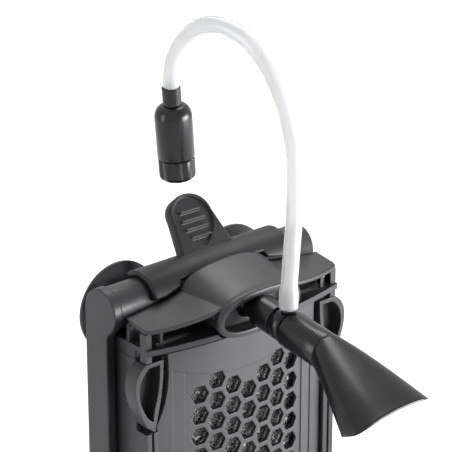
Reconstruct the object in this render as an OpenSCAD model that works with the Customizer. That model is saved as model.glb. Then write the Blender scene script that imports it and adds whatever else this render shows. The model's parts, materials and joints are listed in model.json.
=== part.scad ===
// Internal power filter for an aquarium: a slim container that hangs on the
// inside of the glass from a bracket with suction cups, with a hinged
// honeycomb front, a pump head with a swivelling outlet and a wide jet
// nozzle, and an air hose with a regulating valve.
//
// Frame: Z up, front towards -Y, glass towards +Y. The origin is on the
// underside of the container, straight below the impeller's axis.

/* [Container] */
// Width of the container and of the head
body_w = 90; // [86:1:104]
// Distance from the impeller axis to the front edges of the side walls
front_reach = 13; // [12:0.5:16]
// Distance from the impeller axis to the rear face
rear_reach = 12; // [11.8:0.2:15]
// Height of the head's top sheet above the base
head_h = 180; // [165:1:240]
// Thickness of the container's walls
wall = 2.2; // [1.6:0.1:2.4]
// Thickness of the container's base plate
base_t = 2.6; // [2:0.1:3.4]
// Width of the front flange on each side wall
flange_w = 5.2; // [4.8:0.1:5.6]
// Gap between seated pieces that do not move against each other
seat_gap = 0.1; // [0.06:0.02:0.16]
// Gap round pieces that move
run_gap = 0.5; // [0.4:0.05:0.6]

/* [Front grille] */
// Radius of the grille's curve in plan
grille_r = 151; // [130:1:200]
// How far the middle of the grille stands ahead of the side walls
grille_crown = 3.5; // [2.5:0.1:4]
// Thickness of the grille
grille_t = 2.2; // [1.8:0.1:2.6]
// Distance from one honeycomb opening to the next one below it
hex_pitch = 8.36; // [7.6:0.04:9]
// Width of the bars between honeycomb openings
hex_web = 1.76; // [1.2:0.04:2.4]
// Number of honeycomb columns on each side of the middle one
hex_columns = 3; // [1:1:3]
// Depth of the sunk field round the honeycomb
field_depth = 0.7; // [0.3:0.1:0.9]
// Radius of the grille's hinge pins
pin_r = 1.25; // [1:0.05:1.5]

/* [Release clips] */
// Height of each squeeze clip
clip_h = 27.4; // [24:0.2:32]
// How far a clip bulges out of the side of the container
clip_bulge = 4.8; // [3.5:0.1:6]
// Depth of the clips from front to back
clip_d = 5.8; // [4:0.1:6.4]
// Thickness of the clip's bows
bow_t = 1.6; // [1.2:0.1:2]

/* [Head] */
// Height of the wings' underside above the intake ledge
slot_h = 5.8; // [4.6:0.1:6.6]
// Thickness of the head's top sheet
sheet_t = 1.6; // [1.2:0.1:2]
// Thickness of the intake ledge
ledge_t = 2.1; // [1.6:0.1:2.6]
// How far the ledge stands ahead of the side walls
ledge_crown = 7; // [5.5:0.1:7.5]
// Half the width of the outlet barrel
barrel_hw = 18.8; // [17:0.1:20]
// Half the height of the outlet barrel
barrel_hh = 8.5; // [8.3:0.1:8.7]
// Wall of the outlet barrel
barrel_wall = 1.5; // [1.3:0.1:1.6]
// Slope of the outlet barrel in degrees, down towards its mouth
barrel_slope = 7; // [5.5:0.5:8]
// Height that the wings gain on their sweep up to the barrel
wing_rise = 2.8; // [1.5:0.1:3.2]

/* [Outlet] */
// Outer radius of the fixed part of the outlet pipe
pipe_r = 6.1; // [5.9:0.1:6.2]
// Outer radius of the nozzle's collar
collar_r = 6.75; // [6.6:0.05:7.4]
// Wall of the outlet pipe
pipe_wall = 1.2; // [1:0.1:1.6]
// Slope of the outlet pipe in degrees, down towards the nozzle
pipe_slope = 6.9; // [6:0.1:8]
// Length of the nozzle's fan
fan_l = 35; // [28:1:42]
// Half the width of the nozzle's mouth
fan_hw = 17.6; // [14:0.2:20]
// Height of the opening in the nozzle's mouth
fan_gap = 3.2; // [2.4:0.1:4]
// How far the fan bends down below the pipe's own line
fan_drop = 13; // [9:0.5:14]

/* [Bracket] */
// Radius of the bracket's round cheek heads
cheek_r = 8.5; // [8:0.1:9.2]
// Thickness of the bracket's cheeks
cheek_t = 3.5; // [2.8:0.1:4.2]
// Gap between a cheek and the side of the container
cheek_gap = 1.2; // [0.6:0.1:2]
// Depth of the cheeks below their heads
cheek_d = 11.8; // [9.5:0.1:12.6]
// Thickness of the bracket's back plate
plate_t = 2.6; // [2:0.1:3.2]
// Radius of the suction cups
cup_r = 17.3; // [14:0.1:18]
// Distance from the back plate to the cups' rim
cup_d = 11.8; // [10:0.2:14]
// Distance of each cup from the middle of the bracket
cup_x = 26.5; // [24:0.5:27]

/* [Release lever] */
// Half the width of the lever's saddle
saddle_hw = 31; // [26:0.5:34]
// Wall of the lever's saddle
saddle_t = 2.3; // [1.8:0.1:2.6]
// Length of the lever's tab
tab_l = 23; // [18:0.5:26]
// Half the width of the tab at its root
tab_hw = 12; // [10:0.5:14]
// Thickness of the tab
tab_t = 3.4; // [2.6:0.1:4]
// Lean of the tab in degrees, back from the vertical
tab_lean = 37; // [32:1:40]

/* [Air hose and valve] */
// Outer radius of the air hose
hose_r = 3; // [2.6:0.1:3]
// Radius of the air valve
valve_r = 6.75; // [6:0.05:7.4]
// Height of the valve's body
valve_h = 19.7; // [17:0.1:20]
// Height of the valve's knob
knob_h = 8.3; // [6:0.1:9]

/* [Pump] */
// Radius of the magnet rotor
rotor_r = 5.6; // [5:0.1:5.8]
// Length of the magnet rotor
rotor_l = 24; // [18:0.5:26]
// Radius of the impeller wheel
wheel_r = 7; // [6:0.1:7.2]
// Number of the impeller's blades
blades = 5; // [3:1:7]
// Radius of the impeller's shaft
shaft_r = 1.2; // [1:0.05:1.4]
// Outer radius of the pump chamber
volute_r = 9.5; // [9.3:0.05:9.6]

/* [Hidden] */
$fn = 72;
// Segments of the wide plan arcs
arc_fn = 288;
// A cutter reaches this far past what it cuts
over = 1;
black = "#222326";
gloss = "#17181a";
steel = "#b9bcc0";

// Levels, all measured down from the head's top sheet
body_hw = body_w / 2;
inner_hw = body_hw - wall;
front_y = -front_reach;
rear_y = rear_reach;
wing_under_z = head_h - sheet_t;
ledge_top_z = wing_under_z - slot_h;
ledge_z = ledge_top_z - ledge_t;
skirt_h = 3.4;
seam_z = ledge_z - skirt_h;
grille_top_z = seam_z + 1;

// Outlet barrel
barrel_len = 19.6;
barrel_mouth_y = front_y - 8.5;
barrel_rear_y = front_y + 11.1;
barrel_mouth_z = head_h - 2.1;
rim_l = 2;

// Outlet pipe and its ball
ball_r = 6.3;
ball_y = barrel_mouth_y + 7.5;
pipe_ref_y = front_y - 20;
pipe_ref_z = head_h - 2.96;
ball_z = pipe_ref_z + (ball_y - pipe_ref_y) * tan(pipe_slope);
neck_r = 4.8;
neck_len = 11;
swivel_len = (ball_y - pipe_ref_y) / cos(pipe_slope);
spigot_r = pipe_r - 1;
spigot_l = 9;
swivel_groove = 1.3;
collar_l = 18;
nipple_r = 2.7;
nipple_sink = 0.9;
nipple_h = 1.3;
nipple_y = pipe_ref_y - 3.8;
nipple_foot_z = pipe_ref_z + collar_r - nipple_sink;

// Bracket
back_y = rear_y + 0.6 + plate_t;
tube_y = back_y - cheek_r;
tube_z = head_h + 2;
tube_r = cheek_r - 0.6;
saddle_gap = 0.15;
cheek_in = body_hw + cheek_gap;
neck_fillet_r = 5;
cup_top_z = head_h - 9.4;
cup_low_z = 36;
cup_boss_r = 6;
cup_boss_l = 3.4;
cup_stem_r = 3;

// Grille
grille_hw = body_hw - flange_w - run_gap;
grille_foot_z = 4.2;
hinge_z = 8;
hinge_y = front_y + 2;
knuckle_l = 3;
knuckle_r = pin_r + 1.3;
floor_front_y = hinge_y + 1.8;
foot_swing_r = norm([front_y - grille_crown - hinge_y, grille_foot_z - hinge_z]) + run_gap;
hex_r = (hex_pitch - hex_web) / 2 / cos(30);
hex_column_step = hex_pitch * cos(30);
hex_first_z = head_h - 35.9;
hex_last_z = 24;
field_r = 80.8;
field_z = head_h - 26;
field_hw = 33;
field_step = 5;

// Clips
clip_top_z = seam_z - 0.2;
clip_low_z = clip_top_z - clip_h;
clip_travel = 1.8;
notch_back_y = front_y + clip_d + 0.4;

// Pump
motor_hw = 18;
motor_front_y = -10;
motor_back_y = rear_y - wall - seat_gap;
volute_top_z = ledge_z - 2.2;
volute_h = 10.4;
volute_z = volute_top_z - volute_h;
motor_top_z = volute_z - seat_gap;
motor_h = 47;
motor_z = motor_top_z - motor_h;
can_wall = 1.2;
can_r = rotor_r + 0.6 + can_wall;
can_z = motor_top_z - rotor_l - 5;
rotor_z = can_z + 3.2;
wheel_z = volute_z + 2;
wheel_h = 6;
duct_y = barrel_rear_y - 5.2;
duct_hw = 5;
duct_hd = 1.9;
duct_wall = 1;

// Gland for the power lead
gland_x = body_hw - 15;
gland_z = seam_z - 27.1;
gland_r = 3.6;

// Air hose: the route from the nipple over to the valve
hose_root = [0, nipple_y, nipple_foot_z + nipple_h];
hose_run = [
    [0, 0, 0], [0, -0.2, 7.7], [0.2, -1, 20.7], [0.4, -1.9, 33.7], [0.4, -2.2, 45.7],
    [0.4, -1.8, 55.7], [0.2, -0.5, 64.2], [-0.4, 2, 72.7], [-1.2, 6.3, 81.7],
    [-2.4, 12.3, 89.7], [-3.9, 20, 95.2], [-5.6, 28.8, 97.2], [-7.1, 37.1, 95.7],
    [-8.3, 43.8, 91.2], [-9.2, 48.6, 84.7], [-9.8, 51.2, 77.7], [-10, 51.8, 70.2]
];
hose_path = [for (p = hose_run) hose_root + p];
hose_sides = 10;
valve_top = hose_path[len(hose_path) - 1];
valve_lean = 4.5;
sleeve_r = 3.4;
sleeve_h = 6.5;
shoulder_h = 2.2;

// ---------------------------------------------------------------- helpers

// Point of a cubic Bezier curve
function bezier(p, t) =
    pow(1 - t, 3) * p[0] + 3 * t * pow(1 - t, 2) * p[1]
    + 3 * t * t * (1 - t) * p[2] + pow(t, 3) * p[3];

// Points of a cubic Bezier curve, without its last one
function bezier_run(p, n) = [for (i = [0 : n - 1]) bezier(p, i / n)];

// Rectangle with four round corners, centred
module round_rect(w, h, r) {
    square([w - 2 * r, h], center = true);
    square([w, h - 2 * r], center = true);
    for (x = [-1, 1], y = [-1, 1])
        translate([x * (w / 2 - r), y * (h / 2 - r)])
            circle(r = r);
}

// Flat oval with semicircular ends
module stadium(hw, hh) {
    square([2 * (hw - hh), 2 * hh], center = true);
    for (s = [-1, 1])
        translate([s * (hw - hh), 0])
            circle(r = hh);
}

// Everything behind a wide arc in plan, between two levels
module behind_arc(r, crown, z0, z1) {
    translate([0, front_y - crown + r, z0])
        cylinder(r = r, h = z1 - z0, $fn = arc_fn);
}

// Upright block from a box's lowest and highest corner
module block(a, b) {
    translate(a)
        cube(b - a);
}

// Shape in X and Z, carried back along Y from y0 to y1
module along_y(y0, y1) {
    translate([0, y1, 0])
        rotate([90, 0, 0])
            linear_extrude(y1 - y0)
                children();
}

// Shape in Y and Z, carried along X from x0 to x1
module along_x(x0, x1) {
    translate([x0, 0, 0])
        rotate([90, 0, 90])
            linear_extrude(x1 - x0)
                children();
}

// The frame of the barrel: Z runs back and up from the middle of its mouth
module on_barrel() {
    translate([0, barrel_mouth_y, barrel_mouth_z])
        rotate([barrel_slope - 90, 0, 0])
            children();
}

// The frame of the pipe: Z runs forward and down from the middle of the ball
module on_pipe() {
    translate([0, ball_y, ball_z])
        rotate([90 + pipe_slope, 0, 0])
            children();
}

// ---------------------------------------------------------------- bracket

// Side view of a cheek, in Y and Z
module cheek_outline(r) {
    fillet_y = back_y - cheek_d - neck_fillet_r;
    fillet_dy = tube_y - fillet_y;
    fillet_dz = sqrt(pow(r + neck_fillet_r, 2) - fillet_dy * fillet_dy);
    share = r / (r + neck_fillet_r);
    translate([tube_y, tube_z])
        circle(r = r);
    translate([back_y - cheek_d, 0])
        square([cheek_d, tube_z]);
    difference() {
        polygon([
            [back_y - cheek_d + over, tube_z - fillet_dz],
            [back_y - cheek_d, tube_z - fillet_dz],
            [fillet_y, tube_z - fillet_dz],
            [tube_y - fillet_dy * share, tube_z - fillet_dz * share],
            [tube_y, tube_z]
        ]);
        translate([fillet_y, tube_z - fillet_dz])
            circle(r = neck_fillet_r);
    }
}

module wall_bracket() {
    color(black) difference() {
        union() {
            for (s = [-1, 1])
                along_x(s > 0 ? cheek_in : -cheek_in - cheek_t, s > 0 ? cheek_in + cheek_t : -cheek_in)
                    cheek_outline(cheek_r);
            block([-cheek_in, back_y - plate_t, 0], [cheek_in, back_y, tube_z]);
            translate([-cheek_in, tube_y, tube_z])
                rotate([0, 90, 0])
                    cylinder(r = tube_r, h = 2 * cheek_in);
            for (x = [-cup_x, cup_x], z = [cup_low_z, cup_top_z])
                translate([x, back_y, z])
                    rotate([-90, 0, 0])
                        cylinder(r = cup_boss_r, h = cup_boss_l);
        }
        // Sockets for the suction cups
        for (x = [-cup_x, cup_x], z = [cup_low_z, cup_top_z])
            translate([x, back_y, z])
                rotate([-90, 0, 0])
                    cylinder(r = cup_stem_r + seat_gap, h = cup_boss_l + over);
        // Window in the back plate, which also clears the gland
        along_y(back_y - plate_t - over, back_y + over)
            translate([0, (cup_low_z + cup_top_z) / 2])
                round_rect(2 * (cup_x + 8), cup_top_z - cup_low_z - 30, 6);
    }
}

// Profile of a suction cup: radius across, distance behind the plate up
module cup_profile() {
    neck = cup_boss_l + seat_gap;
    polygon(concat(
        [[0, 0.3], [cup_stem_r, 0.3], [cup_stem_r, neck], [cup_boss_r, neck], [cup_boss_r, neck + 2]],
        [for (i = [1 : 10])
            let (t = i / 10)
            [cup_boss_r + (cup_r - cup_boss_r) * t,
             neck + 2 + (cup_d - 1 - neck - 2) * pow(t, 1.6)]],
        [[cup_r, cup_d], [cup_r - 1, cup_d]],
        [for (i = [9 : -1 : 0])
            let (t = i / 10)
            [(cup_r - 1) * t, cup_d - 1.2 - (cup_d - 1.2 - neck - 3.6) * (1 - pow(t, 1.8))]]
    ));
}

module suction_cup(x, z) {
    color("#3b3d40")
        translate([x, back_y, z])
            rotate([-90, 0, 0])
                rotate_extrude()
                    cup_profile();
}

module suction_cup_upper_left() {
    suction_cup(-cup_x, cup_top_z);
}

module suction_cup_upper_right() {
    suction_cup(cup_x, cup_top_z);
}

module suction_cup_lower_left() {
    suction_cup(-cup_x, cup_low_z);
}

module suction_cup_lower_right() {
    suction_cup(cup_x, cup_low_z);
}

// ------------------------------------------------------------------ lever

// Ring sector that wraps the bracket's tube, in Y and Z about the tube
module saddle_sector() {
    reach = 3 * cheek_r;
    saddle_front = 24;
    difference() {
        circle(r = tube_r + saddle_gap + saddle_t);
        circle(r = tube_r + saddle_gap);
        polygon([
            [0, 0], reach * [-cos(saddle_front), sin(saddle_front)], [-reach, -reach], [reach, -reach],
            reach * [cos(48), sin(48)]
        ]);
    }
}

// Outline of the tab, with a round tip, from its root upwards
module tab_outline(hw, l, tip) {
    r = 5;
    translate([0, l - r])
        square([2 * (hw - tip - r), 2 * r], center = true);
    for (s = [-1, 1])
        translate([s * (hw - tip - r), l - r])
            circle(r = r);
    polygon([
        [-hw, 0], [hw, 0], [hw - tip, l - r], [-(hw - tip), l - r]
    ]);
}

module release_lever() {
    root_r = tube_r + saddle_t - 1.4;
    arch_room = 1.6;
    color(black) difference() {
        union() {
            along_x(-saddle_hw, saddle_hw)
                translate([tube_y, tube_z])
                    saddle_sector();
            // Tab, leaning back from the top of the saddle
            translate([0, tube_y, tube_z])
                rotate([90 - tab_lean + 12, 0, 0])
                    translate([0, root_r - 1, -root_r * sin(12) - tab_t / 2])
                        linear_extrude(tab_t)
                            tab_outline(tab_hw, tab_l - 2, 2.5);
        }
        // Running room over the bracket's tube
        translate([-saddle_hw, tube_y, tube_z])
            rotate([0, 90, 0])
                cylinder(r = tube_r + saddle_gap, h = 2 * saddle_hw);
        // Arched cut-out that clears the outlet barrel
        on_barrel()
            linear_extrude(barrel_len + 3)
                stadium(barrel_hw + arch_room, barrel_hh + arch_room);
        // Sunk finger pad on the front of the tab
        translate([0, tube_y, tube_z])
            rotate([90 - tab_lean + 12, 0, 0])
                translate([0, root_r + 9, -root_r * sin(12) + tab_t / 2 - 0.8])
                    linear_extrude(over + 1)
                        round_rect(15, 14, 5);
    }
    // Grip ribs and an arrow in the pad
    color(black)
        translate([0, tube_y, tube_z])
            rotate([90 - tab_lean + 12, 0, 0])
                translate([0, root_r + 9, -root_r * sin(12) + tab_t / 2 - 0.9]) {
                    for (i = [0 : 3])
                        translate([0, 4.8 - i * 2.1, 0.35])
                            cube([9, 0.9, 0.9], center = true);
                    linear_extrude(0.7)
                        polygon([[-2.2, -3.4], [2.2, -3.4], [0, -5.8]]);
                }
}

// -------------------------------------------------------------- container

// Room that each squeeze clip needs in the container and the foam
module clip_room(side, inner_x) {
    x0 = side > 0 ? inner_x : -body_hw - 10;
    x1 = side > 0 ? body_hw + 10 : -inner_x;
    block([x0, front_y - over, clip_low_z - 0.3], [x1, notch_back_y, seam_z + over]);
}

module container_shell() {
    groove_w = 1;
    hinge_lug = 5;
    color(black) difference() {
        union() {
            // Back, sides and base
            difference() {
                block([-body_hw, front_y, 0], [body_hw, rear_y, seam_z]);
                block([-inner_hw, front_y - over, base_t], [inner_hw, rear_y - wall, seam_z + over]);
                block([-inner_hw, front_y - over, -over], [inner_hw, floor_front_y, base_t + over]);
            }
            // Front flanges of the side walls
            for (s = [-1, 1])
                translate([s * (body_hw - flange_w / 2), front_y + wall / 2, seam_z / 2])
                    cube([flange_w, wall, seam_z], center = true);
            // Lugs that hold the hinge pins
            for (s = [-1, 1])
                translate([s * (body_hw - flange_w / 2), hinge_y, hinge_z])
                    cube([flange_w, 2 * (pin_r + 1.5), 2 * hinge_lug], center = true);
        }
        // Groove down the middle of each flange
        for (s = [-1, 1])
            translate([s * (body_hw - flange_w / 2), front_y, seam_z / 2])
                cube([groove_w, 2 * groove_w, seam_z + over], center = true);
        for (s = [-1, 1])
            clip_room(s, body_hw - flange_w - over);
        // Holes for the hinge pins
        for (s = [-1, 1])
            translate([s * (body_hw - flange_w - over), hinge_y, hinge_z])
                rotate([0, s * 90, 0])
                    cylinder(r = pin_r + 0.03, h = flange_w - 0.6);
        // Hole for the lead's gland
        translate([gland_x, rear_y - wall - over, gland_z])
            rotate([-90, 0, 0])
                cylinder(r = gland_r - 0.9 + seat_gap, h = wall + 2 * over);
    }
}

module cable_gland() {
    color("#1c1d1f")
        translate([gland_x, rear_y, gland_z])
            rotate([-90, 0, 0])
                rotate_extrude()
                    polygon([
                        [1.8, -wall - 1.4], [gland_r, -wall - 1.4], [gland_r, -wall - seat_gap],
                        [gland_r - 0.9, -wall - seat_gap], [gland_r - 0.9, seat_gap],
                        [gland_r, seat_gap], [gland_r - 0.7, 2.6], [1.8, 2.6]
                    ]);
}

module foam_block() {
    foam_gap = 0.3;
    foam_top_z = seam_z - 0.4;
    pod_gap = 0.4;
    hw = inner_hw - foam_gap;
    color("#1b1b1c") difference() {
        intersection() {
            block([-hw, front_y - grille_crown, base_t + foam_gap], [hw, rear_y - wall - foam_gap, foam_top_z]);
            translate([0, front_y - grille_crown + grille_r, 0])
                cylinder(r = grille_r - grille_t - run_gap, h = foam_top_z, $fn = arc_fn);
            // Behind the side flanges the foam is narrower
            union() {
                block([-hw, front_y + wall + foam_gap, 0], [hw, rear_y, foam_top_z]);
                block([-grille_hw, front_y - grille_crown, 0], [grille_hw, rear_y, foam_top_z]);
            }
        }
        for (s = [-1, 1])
            clip_room(s, body_hw - clip_d - 4.4);
        // Room for the grille's knuckles and the hinge lugs
        for (s = [-1, 1])
            translate([s * (body_hw - flange_w), hinge_y, hinge_z])
                cube([4 * knuckle_l, 9, 13], center = true);
        // Room for the grille's foot, which swings in below the hinge
        translate([-hw - over, hinge_y, hinge_z])
            rotate([0, 90, 0])
                cylinder(r = foot_swing_r, h = 2 * (hw + over));
        // Well for the pump
        block([-motor_hw - pod_gap, motor_front_y - pod_gap, motor_z - pod_gap],
              [motor_hw + pod_gap, rear_y, foam_top_z + over]);
        // Room for the inner lip of the gland
        translate([gland_x, rear_y - wall - 2, gland_z])
            rotate([-90, 0, 0])
                cylinder(r = gland_r + run_gap, h = wall + 2);
    }
}

// ------------------------------------------------------------------- head

// Sheet of the wings: concave sweep from the corners up to the barrel
function wing_z(x) =
    head_h + wing_rise * pow(min(1, (body_hw - abs(x)) / (body_hw - barrel_hw)), 2);

module wing_sheet() {
    steps = 30;
    xs = [for (i = [0 : steps]) -body_hw + body_w * i / steps];
    along_y(barrel_mouth_y, barrel_rear_y)
        polygon(concat(
            [for (x = xs) [x, wing_z(x)]],
            [for (i = [steps : -1 : 0]) [xs[i], wing_z(xs[i]) - sheet_t]]
        ));
}

// Plan of the wings: nearly straight front with soft corners
module wing_plan() {
    nose = 3.4;
    soft = 5;
    front_run = [for (i = [0 : 10]) let (x = -body_hw + soft + (body_w - 2 * soft) * i / 10)
        [x, front_y - nose + 0.5 * pow(x / body_hw, 2)]];
    left_run = bezier_run([
        [-body_hw, front_y + 0.4], [-body_hw, front_y - 1.8],
        [-body_hw + 1.6, front_y - 2.6], front_run[0]
    ], 6);
    right_run = [for (i = [5 : -1 : 0]) [-left_run[i][0], left_run[i][1]]];
    polygon(concat(
        [[-body_hw, barrel_rear_y]], left_run, front_run, right_run, [[body_hw, barrel_rear_y]]
    ));
}

module barrel_solid(grow) {
    intersection() {
        on_barrel()
            linear_extrude(barrel_len + 4)
                stadium(barrel_hw + grow, barrel_hh + grow);
        block([-body_hw, barrel_mouth_y - 3, 0], [body_hw, barrel_rear_y + max(grow, 0), 2 * head_h]);
    }
}

// Hollow of the barrel, up to its rear wall
module barrel_hollow(shrink, y0, y1) {
    intersection() {
        on_barrel()
            translate([0, 0, -over])
                linear_extrude(barrel_len + 4)
                    stadium(barrel_hw - barrel_wall - shrink, barrel_hh - barrel_wall - shrink);
        block([-body_hw, y0, 0], [body_hw, y1, 2 * head_h]);
    }
}

// Way down through the head for the duct from the pump
module duct_way() {
    x = duct_hw + duct_wall + seat_gap;
    y = duct_hd + duct_wall + seat_gap;
    block([-x, duct_y - y, seam_z], [x, duct_y + y, barrel_mouth_z]);
}

module head_cover() {
    rear_wall_t = 1.6;
    slot_mark = [10, 1.2];
    color(black) difference() {
        union() {
            difference() {
                intersection() {
                    wing_sheet();
                    linear_extrude(2 * head_h)
                        wing_plan();
                }
                block([-barrel_hw + over, barrel_mouth_y - over, 0], [barrel_hw - over, barrel_rear_y, 2 * head_h]);
            }
            barrel_solid(0);
            // Rear wall under the wings
            block([-body_hw, barrel_rear_y - rear_wall_t, ledge_top_z + seat_gap],
                  [body_hw, barrel_rear_y, wing_under_z + 0.2]);
        }
        barrel_hollow(0, barrel_mouth_y - 3, barrel_rear_y - rear_wall_t);
        duct_way();
        // Shallow mark on top of the mouth
        on_barrel()
            translate([0, -barrel_hh, 2.6])
                cube([slot_mark[0], 0.8, slot_mark[1]], center = true);
    }
    // Rounded lip round the mouth
    color(black)
        on_barrel()
            difference() {
                linear_extrude(rim_l)
                    stadium(barrel_hw + 0.4, barrel_hh + 0.4);
                translate([0, 0, -over])
                    linear_extrude(rim_l + 2 * over)
                        stadium(barrel_hw - 0.5, barrel_hh - 0.5);
            }
}

module head_deck() {
    post_w = 2.6;
    post_d = 3.4;
    inner_post_x = body_hw - 7;
    ledge_r = 172;
    slot_w = 2.2;
    slot_l = 15;
    slot_x = body_hw - 13;
    boss_x = 6;
    boss_y = 5.6;
    color(black) difference() {
        union() {
            intersection() {
                behind_arc(ledge_r, ledge_crown, ledge_z, ledge_top_z);
                block([-body_hw, front_y - ledge_crown, ledge_z], [body_hw, rear_y, ledge_top_z]);
            }
            // Skirt on the container's rim
            difference() {
                block([-body_hw, notch_back_y + 0.2, seam_z + seat_gap], [body_hw, rear_y, ledge_z + 0.5]);
                block([-inner_hw, front_y, seam_z], [inner_hw, rear_y - wall, ledge_z]);
            }
            // Corner posts and inner posts up to the wings
            for (s = [-1, 1]) {
                translate([s * (body_hw - post_w / 2), front_y + post_d / 2, (seam_z + wing_under_z) / 2])
                    cube([post_w, post_d, wing_under_z - seam_z - 2 * seat_gap], center = true);
                translate([s * inner_post_x, front_y + 0.9, (ledge_z + wing_under_z) / 2])
                    cube([1.4, 1.8, wing_under_z - ledge_z - 2 * seat_gap], center = true);
            }
            // Bosses that carry the pump
            for (s = [-1, 1])
                translate([s * boss_x, boss_y, volute_top_z + seat_gap])
                    cylinder(r = 2, h = ledge_z - volute_top_z);
        }
        barrel_solid(0.6);
        duct_way();
        // Intake slots down into the container
        for (s = [-1, 1], i = [0 : 3])
            translate([s * slot_x, front_y + 1.4 + i * 2 * slot_w, ledge_z + ledge_t / 2])
                cube([slot_l, slot_w, 2 * ledge_t], center = true);
    }
}

module outlet_socket() {
    block_front_y = ball_y - 2;
    rear_gap_y = barrel_rear_y - 1.6 - seat_gap;
    color("#1f2022") difference() {
        union() {
            barrel_hollow(seat_gap, block_front_y, rear_gap_y);
            block([-duct_hw - duct_wall, duct_y - duct_hd - duct_wall, volute_top_z + seat_gap],
                  [duct_hw + duct_wall, duct_y + duct_hd + duct_wall, barrel_mouth_z]);
        }
        translate([0, ball_y, ball_z])
            rotate([90, 0, 0])
                sphere(r = ball_r + 0.1);
        // Water way from the duct to the ball
        block([-duct_hw, duct_y - duct_hd, volute_top_z - over], [duct_hw, duct_y + duct_hd, ball_z]);
        translate([0, duct_y + duct_hd, ball_z])
            rotate([90, 0, 0])
                cylinder(r = 4, h = duct_y + duct_hd - ball_y);
    }
}

// ------------------------------------------------------------------- pump

module pump_cover() {
    top_t = 1.6;
    color("#2a2b2e") difference() {
        union() {
            translate([0, 0, volute_z])
                cylinder(r = volute_r, h = volute_h);
            // Flange on the motor
            translate([0, 0, volute_z])
                linear_extrude(1.8)
                    round_rect(2 * motor_hw - 2, 2 * volute_r, 3);
            // Throat below the duct
            block([-duct_hw - duct_wall, duct_y - duct_hd - duct_wall, volute_top_z - 6],
                  [duct_hw + duct_wall, 0, volute_top_z]);
        }
        translate([0, 0, volute_z + 1.8])
            cylinder(r = volute_r - 1.2, h = volute_h - 1.8 - top_t);
        translate([0, 0, volute_z - over])
            cylinder(r = can_r - can_wall, h = 2 + 2 * over);
        block([-duct_hw, duct_y - duct_hd, volute_top_z - 5], [duct_hw, duct_y + duct_hd, volute_top_z + over]);
        // Seat of the upper bearing
        translate([0, 0, volute_top_z - top_t - over])
            cylinder(r = shaft_r + 1.2 + seat_gap, h = top_t + 2 * over);
        // Groove for the seal
        translate([0, 0, volute_z - over])
            difference() {
                cylinder(r = can_r + 0.6, h = over + 0.7);
                cylinder(r = can_r - 0.6, h = over + 0.7);
            }
    }
}

module pump_seal() {
    color("#3a3a3a")
        translate([0, 0, volute_z + 0.05])
            rotate_extrude()
                translate([can_r - 0.05, 0.28])
                    square([0.8, 0.56], center = true);
}

module motor_housing() {
    shell = 1.6;
    mid_y = (motor_front_y + motor_back_y) / 2;
    depth = motor_back_y - motor_front_y;
    color("#26272a") difference() {
        translate([0, mid_y, motor_z + 2])
            linear_extrude(motor_h - 2)
                round_rect(2 * motor_hw, depth, 4);
        difference() {
            translate([0, mid_y, motor_z])
                linear_extrude(motor_h - shell)
                    round_rect(2 * (motor_hw - shell), depth - 2 * shell, 3);
            translate([0, 0, can_z])
                cylinder(r = can_r, h = motor_h);
        }
        // Well of the rotor
        translate([0, 0, can_z + can_wall])
            cylinder(r = can_r - can_wall, h = motor_h);
    }
}

module motor_end_cap() {
    mid_y = (motor_front_y + motor_back_y) / 2;
    depth = motor_back_y - motor_front_y;
    color("#26272a")
        translate([0, mid_y, motor_z]) {
            linear_extrude(2 - seat_gap)
                round_rect(2 * motor_hw, depth, 4);
            linear_extrude(3.4)
                round_rect(2 * (motor_hw - 1.6 - seat_gap), depth - 3.2 - 2 * seat_gap, 3);
        }
}

// Laminated stator: two legs beside the rotor on a yoke below it
leg_t = 5;
core_hd = 4;
core_z = motor_z + 7;
yoke_t = 6;
core_x = can_r + 0.3;

module stator_core() {
    color(steel) {
        for (s = [-1, 1])
            translate([s * (core_x + leg_t / 2), 0, core_z + (can_z + rotor_l - core_z) / 2])
                cube([leg_t, 2 * core_hd, can_z + rotor_l - core_z], center = true);
        translate([0, 0, core_z + yoke_t / 2])
            cube([2 * core_x + leg_t, 2 * core_hd, yoke_t], center = true);
    }
}

module coil_winding() {
    build_up = 2.6;
    color("#a4673a") difference() {
        translate([0, 0, core_z + yoke_t / 2])
            cube([2 * core_x - 0.8, 2 * (core_hd + build_up), yoke_t + 2 * build_up], center = true);
        translate([0, 0, core_z + yoke_t / 2])
            cube([2 * core_x + over, 2 * (core_hd + seat_gap), yoke_t + 2 * seat_gap], center = true);
    }
}

module bearing(z, h, r) {
    color("#4a4a4a")
        translate([0, 0, z])
            difference() {
                cylinder(r = r, h = h);
                translate([0, 0, -over])
                    cylinder(r = shaft_r + 0.02, h = h + 2 * over);
            }
}

module bearing_lower() {
    bearing(can_z + can_wall + seat_gap, rotor_z - can_z - can_wall - 0.6, can_r - can_wall - seat_gap);
}

module bearing_upper() {
    bearing(volute_top_z - 1.6, 1.6, shaft_r + 1.2);
}

module impeller_shaft() {
    color("#d8d8d4")
        translate([0, 0, can_z + can_wall + 0.3])
            cylinder(r = shaft_r, h = volute_top_z - can_z - can_wall - 0.3);
}

module magnet_rotor() {
    color("#44464a") difference() {
        translate([0, 0, rotor_z])
            cylinder(r = rotor_r, h = rotor_l);
        translate([0, 0, rotor_z - over])
            cylinder(r = shaft_r + 0.1, h = rotor_l + 2 * over);
    }
}

module impeller_wheel() {
    hub_r = 3;
    hub_z = rotor_z + rotor_l + 0.05;
    color("#2f3338") difference() {
        union() {
            translate([0, 0, hub_z])
                cylinder(r = hub_r, h = wheel_z + wheel_h - hub_z);
            translate([0, 0, wheel_z])
                cylinder(r = wheel_r, h = 1);
            for (i = [0 : blades - 1])
                rotate([0, 0, 360 * i / blades])
                    translate([hub_r - 0.5, -0.5, wheel_z])
                        cube([wheel_r - hub_r + 0.4, 1, wheel_h]);
        }
        translate([0, 0, hub_z - over])
            cylinder(r = shaft_r + 0.1, h = motor_h);
    }
}

// ----------------------------------------------------------------- grille

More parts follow.
